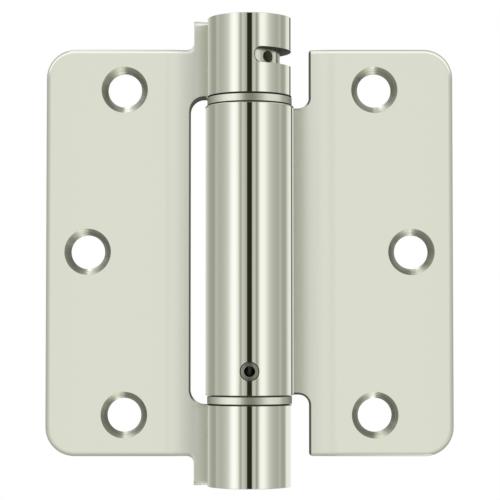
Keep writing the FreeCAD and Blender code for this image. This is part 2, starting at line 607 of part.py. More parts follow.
def tension_collar(doc):
    steps = [
        ("0", COLLAR_HEAD, COLLAR_FOOT, COLLAR_SHOULDER),
        ("0", END_PIVOT, COLLAR_FOOT, COLLAR_TOP),
    ]
    body = turned(doc, "tension_collar", steps)
    pivot, level = value_of(doc, END_PIVOT), value_of(doc, COLLAR_TOP)
    dress_edges(body, "Chamfer", "collar_chamfer", "sizes.end_chamfer", ring_at(pivot, level))
    socket = new_sketch(body, "wrench_socket", "XY_Plane")
    socket.setExpression("AttachmentOffset.Base.z", COLLAR_TOP)
    across = value_of(doc, "sizes.wrench_flats / cos(30)")
    points = [
        FreeCAD.Vector(math.cos(math.radians(60 * k)), math.sin(math.radians(60 * k)), 0) * across / 2
        for k in range(6)
    ]
    for k in range(6):
        socket.addGeometry(Part.LineSegment(points[k], points[(k + 1) % 6]))
    ring = socket.addGeometry(Part.Circle(FreeCAD.Vector(), FreeCAD.Vector(0, 0, 1), across / 2), True)
    for k in range(6):
        socket.addConstraint(Sketcher.Constraint("Coincident", k, 2, (k + 1) % 6, 1))
        socket.addConstraint(Sketcher.Constraint("PointOnObject", k, 1, ring))
    for k in range(5):
        socket.addConstraint(Sketcher.Constraint("Equal", k, k + 1))
    socket.addConstraint(Sketcher.Constraint("Coincident", ring, 3, -1, 1))
    socket.addConstraint(Sketcher.Constraint("PointOnObject", 0, 1, -1))
    bind(socket, Sketcher.Constraint("Radius", ring, across / 2), "corners",
         "sizes.wrench_flats / 2 / cos(30)")
    cut(body, socket, "One side", "sizes.wrench_depth")
    tang_slot(body, COLLAR_FOOT, "0", "sizes.wire_side", True)
    hole = new_sketch(body, "pin_hole", "XZ_Plane", "sizes.collar_hole_angle")
    add_circle(hole, "hole", "0", SLOT_LEVEL, "sizes.collar_hole_diameter")
    hole.setExpression("AttachmentOffset.Base.x",
                       f"({END_PIVOT} - sizes.collar_hole_depth) * sin(sizes.collar_hole_angle)")
    hole.setExpression("AttachmentOffset.Base.z",
                       f"({END_PIVOT} - sizes.collar_hole_depth) * cos(sizes.collar_hole_angle)")
    drilled = cut(body, hole, "One side", f"sizes.collar_hole_depth + {OVERCUT}", True)
    pattern = body.newObject("PartDesign::PolarPattern", "pin_holes")
    pattern.Originals = [drilled]
    pattern.Axis = (socket, ["N_Axis"])
    pattern.Angle = 360
    pattern.Occurrences = COLLAR_HOLES
    body.Tip = pattern
    doc.recompute()
    return body


def anchor_plug(doc):
    steps = [
        ("0", PLUG_HEAD, PLUG_SHOULDER, PLUG_TOP),
        ("0", END_PIVOT, PLUG_FOOT, PLUG_TOP),
    ]
    body = turned(doc, "anchor_plug", steps)
    pivot, level = value_of(doc, END_PIVOT), value_of(doc, PLUG_FOOT)
    dress_edges(body, "Chamfer", "plug_chamfer", "sizes.end_chamfer", ring_at(pivot, level))
    tang_slot(body, PLUG_TOP, "-sizes.wire_side", "0", False)
    cross = new_sketch(body, "cross_hole", "XZ_Plane")
    width = "sizes.anchor_pin_diameter + 2 * sizes.anchor_fit_gap"
    add_circle(cross, "cross", "0", PIN_LEVEL, width)
    cut(body, cross)
    return body


def anchor_pin(doc):
    axis = FreeCAD.Rotation(FreeCAD.Vector(1, 0, 0), -90)
    pieces = []
    for name, diameter in (("pin_outside", "anchor_pin_diameter"), ("pin_bore", "anchor_pin_bore")):
        rod = doc.addObject("Part::Cylinder", name)
        rod.setExpression("Radius", f"sizes.{diameter} / 2")
        rod.setExpression("Height", "sizes.anchor_pin_length")
        rod.Placement = FreeCAD.Placement(FreeCAD.Vector(), axis)
        rod.setExpression("Placement.Base.y", "sizes.anchor_pin_recess - sizes.middle_knuckle_radius")
        rod.setExpression("Placement.Base.z", PIN_LEVEL)
        pieces.append(rod)
    pin = doc.addObject("Part::Cut", "anchor_pin")
    pin.Label = "anchor_pin"
    pin.Base, pin.Tool = pieces
    doc.recompute()
    return pin


def torsion_spring(doc):
    """Left-handed coil of square wire, with both ends bent along the axis."""
    body = new_body(doc, "torsion_spring")
    wire = new_sketch(body, "wire", "XZ_Plane")
    wire_top = f"{SPRING_FOOT} + sizes.wire_side"
    add_rectangle(wire, "wire", WIRE_INSIDE, "sizes.spring_radius", SPRING_FOOT, wire_top)
    rise = f"({SPRING_HEAD} - {SPRING_FOOT} - sizes.wire_side)"
    coil = body.newObject("PartDesign::AdditiveHelix", "coil")
    coil.Profile = wire
    coil.ReferenceAxis = (wire, ["V_Axis"])
    coil.Mode = "height-turns-angle"
    coil.LeftHanded = True
    coil.setExpression("Height", rise)
    coil.setExpression("Turns", f"floor({rise} / (sizes.wire_side + sizes.coil_gap))")
    doc.recompute()
    reach = "sizes.tang_length - sizes.spring_end_gap + sizes.wire_side / 2"
    add_tang(body, "lower_tang", f"{SPRING_FOOT} + sizes.wire_side / 2", "-sizes.wire_side", "0", reach)
    add_tang(body, "upper_tang", f"{SPRING_HEAD} - sizes.wire_side / 2", "0", "sizes.wire_side", reach)
    return body


def add_tang(body, name, level, near, far, reach):
    """A wire end bent along the axis, down from the foot or up from the head."""
    sketch = new_sketch(body, name + "_section", "XY_Plane")
    sketch.setExpression("AttachmentOffset.Base.z", level)
    add_rectangle(sketch, "tang", WIRE_INSIDE, "sizes.spring_radius", near, far)
    pad = body.newObject("PartDesign::Pad", name)
    pad.Profile = sketch
    pad.setExpression("Length", reach)
    pad.Reversed = name.startswith("lower")
    body.Document.recompute()


def main():
    doc = FreeCAD.newDocument("door_spring_hinge")
    fill_sheet(doc)
    parts = [
        frame_leaf(doc),
        door_leaf(doc),
        washer(doc, "upper_washer", UPPER_WASHER),
        washer(doc, "lower_washer", LOWER_WASHER),
        tension_collar(doc),
        anchor_plug(doc),
        anchor_pin(doc),
        torsion_spring(doc),
    ]
    doc.recompute()
    for item in doc.Objects:
        if {"Invalid", "Error"} & set(item.State):
            raise RuntimeError(f"{item.Label}: {item.State}")
    os.makedirs("parts", exist_ok=True)
    for part in parts:
        if part.Shape.isNull() or not part.Shape.isValid() or len(part.Shape.Solids) != 1:
            raise RuntimeError(f"{part.Label}: its shape isn't one valid solid")
        part.Shape.exportStep(f"parts/{part.Label}.step")
        box = part.Shape.BoundBox
        print(part.Label, round(part.Shape.Volume, 2), [round(v, 2) for v in (
            box.XMin, box.XMax, box.YMin, box.YMax, box.ZMin, box.ZMax)])


main()
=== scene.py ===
import json
import math

import bpy
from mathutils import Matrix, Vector


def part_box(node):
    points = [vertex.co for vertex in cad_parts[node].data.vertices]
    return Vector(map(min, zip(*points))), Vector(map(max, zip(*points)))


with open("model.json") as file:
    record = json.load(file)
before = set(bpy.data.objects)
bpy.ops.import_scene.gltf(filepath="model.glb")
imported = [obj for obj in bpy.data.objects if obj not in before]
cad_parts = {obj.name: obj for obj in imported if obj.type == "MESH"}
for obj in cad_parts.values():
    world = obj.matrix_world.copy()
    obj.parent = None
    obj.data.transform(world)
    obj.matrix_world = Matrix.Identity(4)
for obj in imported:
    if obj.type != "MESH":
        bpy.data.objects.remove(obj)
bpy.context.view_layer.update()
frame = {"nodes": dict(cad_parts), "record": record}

MM = 0.001

# Measures, in metres. The barrel stands on the Z axis, and the photograph looks along +Y.

MOUNTS = {mount["name"]: mount for mount in frame["record"]["mounts"]}
UPPER_WASHER, LOWER_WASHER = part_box("upper_washer"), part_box("lower_washer")
# The middle knuckle's radius, the end knuckles', and the level of the middle knuckle's middle
KNUCKLE_RADIUS = -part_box("door_leaf")[0].y
END_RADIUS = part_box("frame_leaf")[1].y
KNUCKLE_MIDDLE = (UPPER_WASHER[1].z + LOWER_WASHER[0].z) / 2
# The play between a washer and the knuckles above and below it
WASHER_PLAY = 0.25 * MM
# The slot in the frame leaf and the notches in the door leaf: half their height
# from the same middle, their edge from the axis, and their corners' radius
SLOT_HALF = UPPER_WASHER[1].z + WASHER_PLAY - KNUCKLE_MIDDLE
SLOT_EDGE, SLOT_ROUND = 12.9 * MM, 3.2 * MM
NOTCH_HALF = UPPER_WASHER[0].z - WASHER_PLAY - KNUCKLE_MIDDLE
NOTCH_EDGE, NOTCH_ROUND = 13.0 * MM, 2.3 * MM
# The screw holes, aside from the axis, and how far the outer ones are up and down
OUTER_ASIDE = MOUNTS["door_screw_pair"]["pos_m"][0]
OUTER_LEVEL = MOUNTS["door_screw_pair"]["dims"]["spacing_y_mm"] / 2 * MM
MIDDLE_ASIDE = MOUNTS["door_middle_screw"]["pos_m"][0]
# The tension slot in the top knuckle, and the pin in the middle one
SLOT_LEVEL = MOUNTS["tension_pin_hole"]["pos_m"][2]
SLOT_END_ANGLE = 18
SLOT_END_ROUND = 1.75 * MM
PIN_LEVEL = sum(corner.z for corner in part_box("anchor_pin")) / 2
# The bend beside the barrel: its front's radius and its centre, aside and behind
BEND_FRONT = 25.25 * MM
BEND_CENTRE = (18.16 * MM, 26.25 * MM)

# Colours

WHITE = 255
GREEN_GAIN = 2
BLUE_LOSS = 12
WHITE_BLUE_LOSS = 4
FADE_START = 235


def linear(grey):
    """A display grey of 0 to 255 as linear light, by the sRGB curve."""
    share = grey / WHITE
    if share <= 0.04045:
        return share / 12.92
    return ((share + 0.055) / 1.055) ** 2.4


def tinted(grey):
    """The nickel's own tint at a display grey: a little green, less blue, fading to white."""
    fade = max(grey - FADE_START, 0) / (WHITE - FADE_START)
    blue_loss = BLUE_LOSS - (BLUE_LOSS - WHITE_BLUE_LOSS) * fade
    return (linear(grey), linear(min(grey + GREEN_GAIN, WHITE)), linear(max(grey - blue_loss, 0)))


# Camera, at the photograph's place in front of the barrel

CAMERA_DISTANCE = 400 * MM
CAMERA_HEIGHT = -20 * MM
CAMERA_SIDE = 0.1 * MM
CAMERA_NEAREST = 10 * MM
# Upward, in degrees
CAMERA_TILT = 2.353
CAMERA_SHIFT = 0.036
# In millimetres, as Blender counts them
CAMERA_LENS = 132.6
SENSOR_WIDTH = 36


def make_camera():
    data = bpy.data.cameras.new("camera")
    data.lens = CAMERA_LENS
    data.sensor_width = SENSOR_WIDTH
    data.shift_y = CAMERA_SHIFT
    data.clip_start = CAMERA_NEAREST
    camera = bpy.data.objects.new("camera", data)
    camera.location = (CAMERA_SIDE, -CAMERA_DISTANCE, CAMERA_HEIGHT)
    camera.rotation_euler = (math.radians(90 + CAMERA_TILT), 0, 0)
    bpy.context.scene.collection.objects.link(camera)
    bpy.context.scene.camera = camera


# Node helpers

LINE_DETAIL = 2.0
ALL_WHITE = (1, 1, 1, 1)


class Graph:
    """Short calls that add nodes to one material or world."""

    def __init__(self, tree):
        self.tree = tree
        self.tree.nodes.clear()

    def node(self, kind, **values):
        made = self.tree.nodes.new(kind)
        for key, value in values.items():
            setattr(made, key, value)
        return made

    def link(self, source, target):
        self.tree.links.new(source, target)

    def feed(self, socket, value):
        if isinstance(value, bpy.types.NodeSocket):
            self.link(value, socket)
        else:
            socket.default_value = value

    def math(self, operation, first, second=0.0):
        made = self.node("ShaderNodeMath", operation=operation)
        for socket, value in zip(made.inputs, (first, second)):
            self.feed(socket, value)
        return made.outputs[0]

    def total(self, first, *others):
        for other in others:
            first = self.math("ADD", first, other)
        return first

    def less(self, first, second):
        return self.math("SUBTRACT", first, second)

    def rest(self, share):
        """What is left of 1."""
        return self.math("SUBTRACT", 1.0, share)

    def most(self, first, *others):
        for other in others:
            first = self.math("MAXIMUM", first, other)
        return first

    def ramp(self, value, low, high, start=0.0, end=1.0):
        """value from low to high becomes start to end, smoothly, and stays there past them."""
        made = self.node("ShaderNodeMapRange", interpolation_type="SMOOTHSTEP")
        names = ("Value", "From Min", "From Max", "To Min", "To Max")
        for name, given in zip(names, (value, low, high, start, end)):
            self.feed(made.inputs[name], given)
        return made.outputs[0]

    def fall(self, value, low, high):
        """1 up to low, and smoothly down to 0 at high."""
        return self.ramp(value, low, high, 1.0, 0.0)

    def between(self, value, low, high, soft):
        """1 from low to high and 0 outside, with soft edges."""
        above = self.ramp(value, low - soft / 2, low + soft / 2)
        below = self.fall(value, high - soft / 2, high + soft / 2)
        return self.product(above, below)

    def length(self, first, second):
        squares = [self.product(value, value) for value in (first, second)]
        return self.math("SQRT", self.total(*squares))

    def product(self, first, *others):
        for other in others:
            first = self.math("MULTIPLY", first, other)
        return first

    def mix(self, factor, first, second):
        made = self.node("ShaderNodeMix", data_type="RGBA")
        self.feed(made.inputs["Factor"], factor)
        self.feed(made.inputs["A"], first)
        self.feed(made.inputs["B"], second)
        return made.outputs["Result"]

    def where(self):
        """The place in the object's own coordinates, in metres."""
        return self.node("ShaderNodeTexCoord").outputs["Object"]

    def place(self):
        """The same place as x, y and z."""
        split = self.node("ShaderNodeSeparateXYZ")
        self.link(self.where(), split.inputs[0])
        return tuple(split.outputs)

    def noise(self, scale, detail, stretch=(1, 1, 1)):
        """Noise over the object's own coordinates."""
        mapped = self.node("ShaderNodeMapping")
        mapped.inputs["Scale"].default_value = stretch
        self.link(self.where(), mapped.inputs["Vector"])
        made = self.node("ShaderNodeTexNoise")
        self.link(mapped.outputs[0], made.inputs["Vector"])
        made.inputs["Scale"].default_value = scale
        made.inputs["Detail"].default_value = detail
        return made.outputs["Fac"]

    def turned(self, value, scale):
        """Fine lines across one value, as a turning tool leaves them."""
        made = self.node("ShaderNodeTexNoise", noise_dimensions="1D")
        self.link(value, made.inputs["W"])
        made.inputs["Scale"].default_value = scale
        made.inputs["Detail"].default_value = LINE_DETAIL
        return made.outputs["Fac"]

    def steps(self, value, low, high, stops):
        """A grey by the stops, each (where between low and high, grey)."""
        share = self.math("DIVIDE", self.less(value, low), high - low)
        made = self.node("ShaderNodeValToRGB")
        self.link(share, made.inputs["Fac"])
        elements = made.color_ramp.elements
        while len(elements) < len(stops):
            elements.new(1.0)
        for element, (where, grey) in zip(elements, stops):
            element.position = (where - low) / (high - low)
            element.color = (grey, grey, grey, 1)
        return made.outputs["Color"]

    def bump(self, height, distance, strength):
        made = self.node("ShaderNodeBump")
        made.inputs["Distance"].default_value = distance
        made.inputs["Strength"].default_value = strength
        self.link(height, made.inputs["Height"])
        return made.outputs[0]


def new_material(name):
    material = bpy.data.materials.new(name)
    material.use_nodes = True
    graph = Graph(material.node_tree)
    shader = graph.node("ShaderNodeBsdfPrincipled")
    graph.output = graph.node("ShaderNodeOutputMaterial")
    graph.link(shader.outputs[0], graph.output.inputs["Surface"])
    return material, graph, shader


# What the polished metal mirrors: a wide tent of soft light, and a wrap close round the barrel

# The tent by azimuth in degrees, from the camera's side toward +X,
# and the grey that the polished metal shows there
TENT_BELT = (
    (-180, 170), (-110, 168), (-88, 172), (-60, 185), (-45, 193), (-30, 198), (-17, 208), (-11, 218),
    (-3.0, 218), (-2.5, 213), (-1.9, 203), (-0.8, 200), (0.4, 214), (1.3, 218),
    (11, 218), (17, 208), (30, 198), (45, 193), (60, 185), (88, 172), (110, 168), (180, 170),
)
# The tent by pitch in degrees, from the camera's side up over the hinge
TENT_PITCH = (
    (-180, 175), (-126, 165), (-100, 158), (-65, 181), (-38, 202), (-14, 210), (0, 218),
    (14, 211), (28, 226), (42, 250), (64, 252), (76, 212), (96, 192), (126, 178), (180, 175),
)
# The wrap's narrow cards and flags, by the azimuth of the barrel's reflection
WRAP_BANDS = (
    (-172, 214), (-160, 208), (-145, 190), (-131, 168), (-120, 156), (-110, 153), (-104, 156),
    (-100, 175), (-94, 181), (-87, 173), (-80, 172), (-73, 178), (-67, 185), (-61, 195),
    (-55, 209), (-50, 234), (-44, 249), (-38, 251), (-33, 241), (-28, 211), (-24, 162),
    (-22, 162), (-18, 195), (-13, 185), (-7.2, 157), (-5.6, 38), (5.6, 38), (7.0, 176),
    (9, 186), (14, 192), (17, 151), (19, 151), (22, 180), (27, 238), (33, 245), (39, 241),
    (44, 226), (50, 206), (55, 192), (61, 181), (67, 174), (74, 167), (81, 166), (85, 178),
    (89, 178), (93, 160), (102, 156), (108, 162), (118, 212), (129, 228), (137, 228),
    (140, 100), (152, 100), (155, 252), (172, 255),
)
# The same for the satin washers
WASHER_BANDS = (
    (-180, 110), (-150, 118), (-134, 134), (-110, 160), (-90, 188), (-72, 216), (-55, 232), (-38, 234),
    (-26, 205), (-14, 152), (-6, 126), (6, 120), (14, 134), (28, 168), (42, 206), (54, 216),
    (72, 210), (86, 201), (100, 162), (118, 150), (150, 112), (180, 110),
)
# The wrap's back, by the place round the barrel
BACK_BANDS = (
    (130, 178), (142, 172), (154, 235), (164, 246), (170, 190), (175, 165), (176, 40), (180, 34),
)
NICKEL = (0.78, 0.795, 0.72)
TENT_RADIUS = 0.5
# The wrap's radius, how far it reaches up and down, and the longest ray that sees it
WRAP_RADIUS = 11 * MM
WRAP_END = 60 * MM
WRAP_SIGHT = 6.5 * MM
# How far the upper washer's greys reach past the top knuckle's lower edge
WASHER_LIFT = 0.3 * MM
# How fine the tent and the wrap are, in degrees
TENT_ROW, TENT_COLUMN = 3, 4
WRAP_COLUMN = 3
# Elevations between which the belt gives way to the pitch
BELT_EDGE, BELT_FADE = 12, 26
# The two small bright cards, by the parts of the unit vector that points at them
GLINT_GREY = 255
GLINT_ASIDE, GLINT_HALF_WIDTH = 0.22, 0.17
GLINT_BEHIND, GLINT_HALF_DEPTH = 0.12, 0.3
GLINT_STEEP = 0.85
GLINT_SHARPNESS = 3
# The wrap's right side where the bottom knuckle sees it, in degrees
RIM_GREY = 226
RIM_START, RIM_END = 72, 162
# A ray that was mirrored before it meets the barrel has a glossy depth above this at the wrap
MIRRORED_DEPTH = 1.5
MIRRORED_GREY = 186


def clamped(share):
    """A share held between 0 and 1."""
    return min(max(share, 0), 1)


def tent_colour(grey):
    """The light that nickel shows as this grey."""
    return [seen / own for seen, own in zip(tinted(grey), NICKEL)] + [1.0]


def along(profile, where):
    """The grey at one angle of a list of (angle, grey)."""
    for (first, level), (last, next_level) in zip(profile, profile[1:]):
        if first <= where <= last:
            return level + (next_level - level) * (where - first) / (last - first)
    return profile[-1][1]


def tent_grey(azimuth, elevation):
    """The belt near the horizon, which gives way smoothly to the pitch above and below it."""
    turn, rise = math.radians(azimuth), math.radians(elevation)
    pitch = math.degrees(math.atan2(math.sin(rise), math.cos(rise) * math.cos(turn)))
    share = clamped((abs(elevation) - BELT_EDGE) / (BELT_FADE - BELT_EDGE))
    share = share * share * (3 - 2 * share)
    return along(TENT_BELT, azimuth) * (1 - share) + along(TENT_PITCH, pitch) * share


def glint(way):
    """1 on two small bright cards, below right and above left, which the drilled cones show."""
    aside = -way.x if way.z > 0 else way.x
    share = clamped(1 - abs(aside - GLINT_ASIDE) / GLINT_HALF_WIDTH)
    share *= clamped(1 - abs(way.y - GLINT_BEHIND) / GLINT_HALF_DEPTH)
    return min(GLINT_SHARPNESS * share, 1) if abs(way.z) > GLINT_STEEP else 0


def glowing_sheet(name, strips, sight=None):
    """A mesh of strips, each made of rows of (point, grey), that only mirrored rays see.

    With a sight it shows only on its inner side and to rays no longer than that. A ray that has
    been mirrored before sees an even grey there, so that the leaves show no bands."""
    points, greys, faces = [], [], []
    for rows in strips:
        start, width = len(points), len(rows[0])
        for row in rows:
            points += [point for point, grey in row]
            greys += [grey for point, grey in row]
        for r in range(len(rows) - 1):
            for c in range(width - 1):
                first = start + r * width + c
                faces.append((first, first + 1, first + width + 1, first + width))
    mesh = bpy.data.meshes.new(name)
    mesh.from_pydata(points, [], faces)
    glow = mesh.color_attributes.new("glow", "FLOAT_COLOR", "POINT")
    for entry, grey in zip(glow.data, greys):
        entry.color = tent_colour(grey)
    mesh.materials.append(glow_material(name, sight))
    sheet = bpy.data.objects.new(name, mesh)
    bpy.context.scene.collection.objects.link(sheet)
    sheet.visible_camera = False
    sheet.visible_diffuse = False
    sheet.visible_shadow = False
    sheet.visible_transmission = False


def glow_material(name, sight):
    """Light in the mesh's own glow colours."""
    material = bpy.data.materials.new(name)
    material.use_nodes = True
    graph = Graph(material.node_tree)
    light = graph.node("ShaderNodeEmission")
    colour = graph.node("ShaderNodeAttribute", attribute_name="glow")
    out = graph.node("ShaderNodeOutputMaterial")
    if sight is None:
        graph.link(colour.outputs["Color"], light.inputs["Color"])
        graph.link(light.outputs[0], out.inputs["Surface"])
    else:
        path = graph.node("ShaderNodeLightPath")
        near = graph.math("LESS_THAN", path.outputs["Ray Length"], sight)
        mirrored = graph.math("GREATER_THAN", path.outputs["Glossy Depth"], MIRRORED_DEPTH)
        evened = graph.mix(mirrored, colour.outputs["Color"], tent_colour(MIRRORED_GREY))
        graph.link(evened, light.inputs["Color"])
        from_inside = graph.node("ShaderNodeNewGeometry").outputs["Backfacing"]
        mixed = graph.node("ShaderNodeMixShader")
        graph.link(graph.product(near, from_inside), mixed.inputs[0])
        graph.link(graph.node("ShaderNodeBsdfTransparent").outputs[0], mixed.inputs[1])
        graph.link(light.outputs[0], mixed.inputs[2])
        graph.link(mixed.outputs[0], out.inputs["Surface"])
    return material


def divided(profile, step):
    """The profile's angles, with more between them so that none are further apart than step."""
    angles = []
    for (first, level), (last, next_level) in zip(profile, profile[1:]):
        parts = max(1, math.ceil((last - first) / step))
        angles += [first + (last - first) * part / parts for part in range(parts)]
    return angles + [profile[-1][0]]


def make_tent():
    """A wide sphere of soft light round the hinge, which all polished metal mirrors."""
    rows = []
    for elevation in range(-90, 91, TENT_ROW):
        rise = math.radians(elevation)
        flat = math.cos(rise)
        row = []
        for azimuth in divided(TENT_BELT, TENT_COLUMN):
            turn = math.radians(azimuth)
            way = Vector((math.sin(turn) * flat, -math.cos(turn) * flat, math.sin(rise)))
            grey = tent_grey(azimuth, elevation)
            row.append((way * TENT_RADIUS, grey + (GLINT_GREY - grey) * glint(way)))
        rows.append(row)
    glowing_sheet("tent", [rows])


def bright_rim(ring):
    """The wrap's greys with no dark line toward the right rim."""
    return [
        (angle, max(grey, RIM_GREY) if RIM_START < angle < RIM_END else grey) for angle, grey in ring
    ]


def wrap_ring(bands, radius):
    """The wrap's greys by the place round it, where a knuckle of that radius mirrors the bands.

    On a thinner knuckle the bands keep their places in the picture, apart from near the rims."""
    back = [(angle, along(BACK_BANDS, angle)) for angle in divided(BACK_BANDS, WRAP_COLUMN)]
    ring = []
    for azimuth in divided(WRAP_BANDS, WRAP_COLUMN):
        share = math.sin(math.radians(azimuth / 2))
        share *= 1 + (KNUCKLE_RADIUS / radius - 1) * (1 - share * share)
        angle = 2 * math.asin(share) - math.asin(radius * share / WRAP_RADIUS)
        ring.append((math.degrees(angle), along(bands, azimuth)))
    return [(-angle, grey) for angle, grey in reversed(back)] + ring + back


def make_wrap():
    """A glowing wrap just off the barrel, which only the barrel and what is in it see."""
    middle = wrap_ring(WRAP_BANDS, KNUCKLE_RADIUS)
    end = wrap_ring(WRAP_BANDS, END_RADIUS)
    washer = wrap_ring(WASHER_BANDS, END_RADIUS)
    knuckle_foot, knuckle_head = KNUCKLE_MIDDLE - NOTCH_HALF, KNUCKLE_MIDDLE + NOTCH_HALF
    low_head, top_foot = KNUCKLE_MIDDLE - SLOT_HALF, KNUCKLE_MIDDLE + SLOT_HALF
    strips = []
    for ring, foot, head in (
        (bright_rim(end), -WRAP_END, low_head),
        (washer, low_head, knuckle_foot),
        (middle, knuckle_foot, knuckle_head),
        (washer, knuckle_head, top_foot + WASHER_LIFT),
        (end, top_foot + WASHER_LIFT, WRAP_END),
    ):
        rows = []
        for height in (foot, head):
            row = []
            for angle, grey in ring:
                turn = math.radians(angle)
                place = Vector((math.sin(turn) * WRAP_RADIUS, -math.cos(turn) * WRAP_RADIUS, height))
                row.append((place, grey))
            rows.append(row)
        strips.append(rows)
    glowing_sheet("wrap", strips, WRAP_SIGHT)


# World, floor and light

SOFT_LIGHT, SEEN_LIGHT = 0.75, 1.0
FLOOR_LEVEL = -0.56
FLOOR_HALF = 6.0
FLOOR_GREY = (0.86, 0.86, 0.86, 1)
FLOOR_ROUGHNESS = 0.9
# Two distances out from the middle of the floor, and how white it shows at each
FLOOR_FADE = (0.15, 0.6, 0.4, 1.0)
OVERHEAD_PLACE = (0, -0.35, 0.9)
OVERHEAD_SIZE = (0.9, 0.6)
OVERHEAD_POWER = 6


def seen_directly(graph):
    """1 for camera, glossy and transmission rays, 0 for the light that falls on things."""
    path = graph.node("ShaderNodeLightPath")
    kinds = ("Is Camera Ray", "Is Glossy Ray", "Is Transmission Ray")
    return graph.most(*[path.outputs[kind] for kind in kinds])


def make_world():
    """White to the eye, and softer as the light that falls on things."""
    world = bpy.data.worlds.new("studio")
    bpy.context.scene.world = world
    world.use_nodes = True
    graph = Graph(world.node_tree)
    mixed = graph.node("ShaderNodeMixShader")
    graph.link(seen_directly(graph), mixed.inputs[0])
    for slot, strength in ((1, SOFT_LIGHT), (2, SEEN_LIGHT)):
        white = graph.node("ShaderNodeBackground")
        white.inputs["Color"].default_value = ALL_WHITE
        white.inputs["Strength"].default_value = strength
        graph.link(white.outputs[0], mixed.inputs[slot])
    out = graph.node("ShaderNodeOutputWorld")
    graph.link(mixed.outputs[0], out.inputs["Surface"])


def make_floor():
    """A wide pale floor far below, white toward its edges."""
    mesh = bpy.data.meshes.new("floor")
    corners = [(-1, -1), (1, -1), (1, 1), (-1, 1)]
    points = [(x * FLOOR_HALF, y * FLOOR_HALF, FLOOR_LEVEL) for x, y in corners]
    mesh.from_pydata(points, [], [(0, 1, 2, 3)])
    floor = bpy.data.objects.new("floor", mesh)
    bpy.context.scene.collection.objects.link(floor)
    material, graph, shader = new_material("pale_floor")
    shader.inputs["Base Color"].default_value = FLOOR_GREY
    shader.inputs["Roughness"].default_value = FLOOR_ROUGHNESS
    white = graph.node("ShaderNodeEmission")
    white.inputs["Color"].default_value = ALL_WHITE
    mixed = graph.node("ShaderNodeMixShader")
    x, y, z = graph.place()
    fade = graph.ramp(graph.length(x, y), *FLOOR_FADE)
    graph.link(graph.product(seen_directly(graph), fade), mixed.inputs[0])
    graph.link(shader.outputs[0], mixed.inputs[1])
    graph.link(white.outputs[0], mixed.inputs[2])
    graph.link(mixed.outputs[0], graph.output.inputs["Surface"])
    mesh.materials.append(material)


def make_overhead():
    """One soft light above, aimed at the hinge, that the metal doesn't mirror."""
    data = bpy.data.lights.new("overhead", "AREA")
    data.shape = "RECTANGLE"
    data.size, data.size_y = OVERHEAD_SIZE
    data.energy = OVERHEAD_POWER
    light = bpy.data.objects.new("overhead", data)
    light.location = OVERHEAD_PLACE
    light.rotation_mode = "QUATERNION"
    light.rotation_quaternion = (-Vector(OVERHEAD_PLACE)).to_track_quat("-Z", "Y")
    light.visible_glossy = False
    bpy.context.scene.collection.objects.link(light)


# Materials

# Painted shade, near black, in the bore, on the tension slot's sides and on the knuckles' and washers'
# end faces
PAINTED_SHADE = (0.06, 0.06, 0.05, 1)
# Painted shade along the slot's and notches' sheared edges
EDGE_SHADE = (0.09, 0.09, 0.07, 1)
# Painted shade outline on the rim of the tension slot's end
SLOT_RIM_SHADE = (0.2, 0.2, 0.17, 1)
CUT_STEEL = (0.56, 0.57, 0.51, 1)
HOLLOW_STEEL = (0.30, 0.31, 0.21, 1)
PLATE_NICKEL = (*NICKEL, 1)
BENT_NICKEL = (0.80, 0.81, 0.75, 1)
# The bright end of the drilled cones' painted highlight
CONE_HIGHLIGHT = (0.98, 1.0, 0.90, 1)
SHADE = (0, 0, 0, 1)

# Distances from the axis between which one look gives way to another: the bore's edge and the
# leaf's start all round, and the bend's end aside
BORE_EDGE = (7.4 * MM, 7.6 * MM)
LEAF_START = (9.65 * MM, 9.9 * MM)
BEND_END = (11 * MM, 21 * MM)
# The frame leaf's bend has a little painted shade between these
BEND_SHADE_START, BEND_SHADE_END = (11.1 * MM, 12.5 * MM), (13.2 * MM, 17.4 * MM)
BEND_SHADE_SHARE = 0.16

# Roughness of the nickel, and what each place adds to it
PLATE_ROUGHNESS = 0.02
LEAF_ROUGHER = 0.075
BEND_ROUGHER = 0.26
CLOUD_ROUGHER = 0.02
CONE_ROUGHER = 0.1
CUT_ROUGHER = 0.3
PAINTED_SHADE_ROUGHER = 0.7
PIN_SMOOTHER = 0.6
CLOUD_SCALE, CLOUD_DETAIL = 60, 3

# Painted shade along the slot's and notches' sheared edges: the dark line's width, its depth into the
# sheet, and how softly it ends
EDGE_SHADE_WIDTH = 0.34 * MM
DARK_DEPTH, DARK_FADE = 0.9 * MM, 0.4 * MM
SLOT_SOFT = 0.1 * MM
NOTCH_FADE = (-0.02 * MM, 0.18 * MM)
CORNER_SOFT = 0.2 * MM
# Parts of a corner's turn between which an edge that faces up loses its painted shade line
TURNED_UP = (0.5, 0.98)
# The slot's upper corner has a painted shade crescent, which is wider and less deep
CRESCENT_WIDTH, CRESCENT_DEPTH = 0.25 * MM, 2 * MM

# Drilled cones: their inner and outer radius, and their painted highlight and shade by the way round
# the hole, in degrees from upright
CONE_START, CONE_END, CONE_SOFT = 3.6 * MM, 5.02 * MM, 0.1 * MM
CONE_HIGHLIGHT_STOPS = (
    (-90, 0.43), (-40, 0.43), (-10, 0.46), (-3, 0.6), (2, 1.0), (18, 1.0), (26, 0.8), (36, 0.64),
    (52, 0.48), (66, 0.54), (78, 0.45), (90, 0.43),
)
# Their tool marks: how fine they are, the range of noise that turns them from dark to bright,
# how dark and how bright that is, and how far they wobble
MARK_SCALE = 6000
MARK_CONTRAST = (0.3, 0.7, 0.72, 1.3)
WOBBLE, WOBBLE_SCALE, WOBBLE_DETAIL = 0.25 * MM, 250, 1

# The knuckles' end faces carry painted shade for the gaps: how far that reaches into the knuckle and
# past its end
FACE_RIM, FACE_PAST, FACE_SOFT = 0.1 * MM, 0.04 * MM, 0.01 * MM
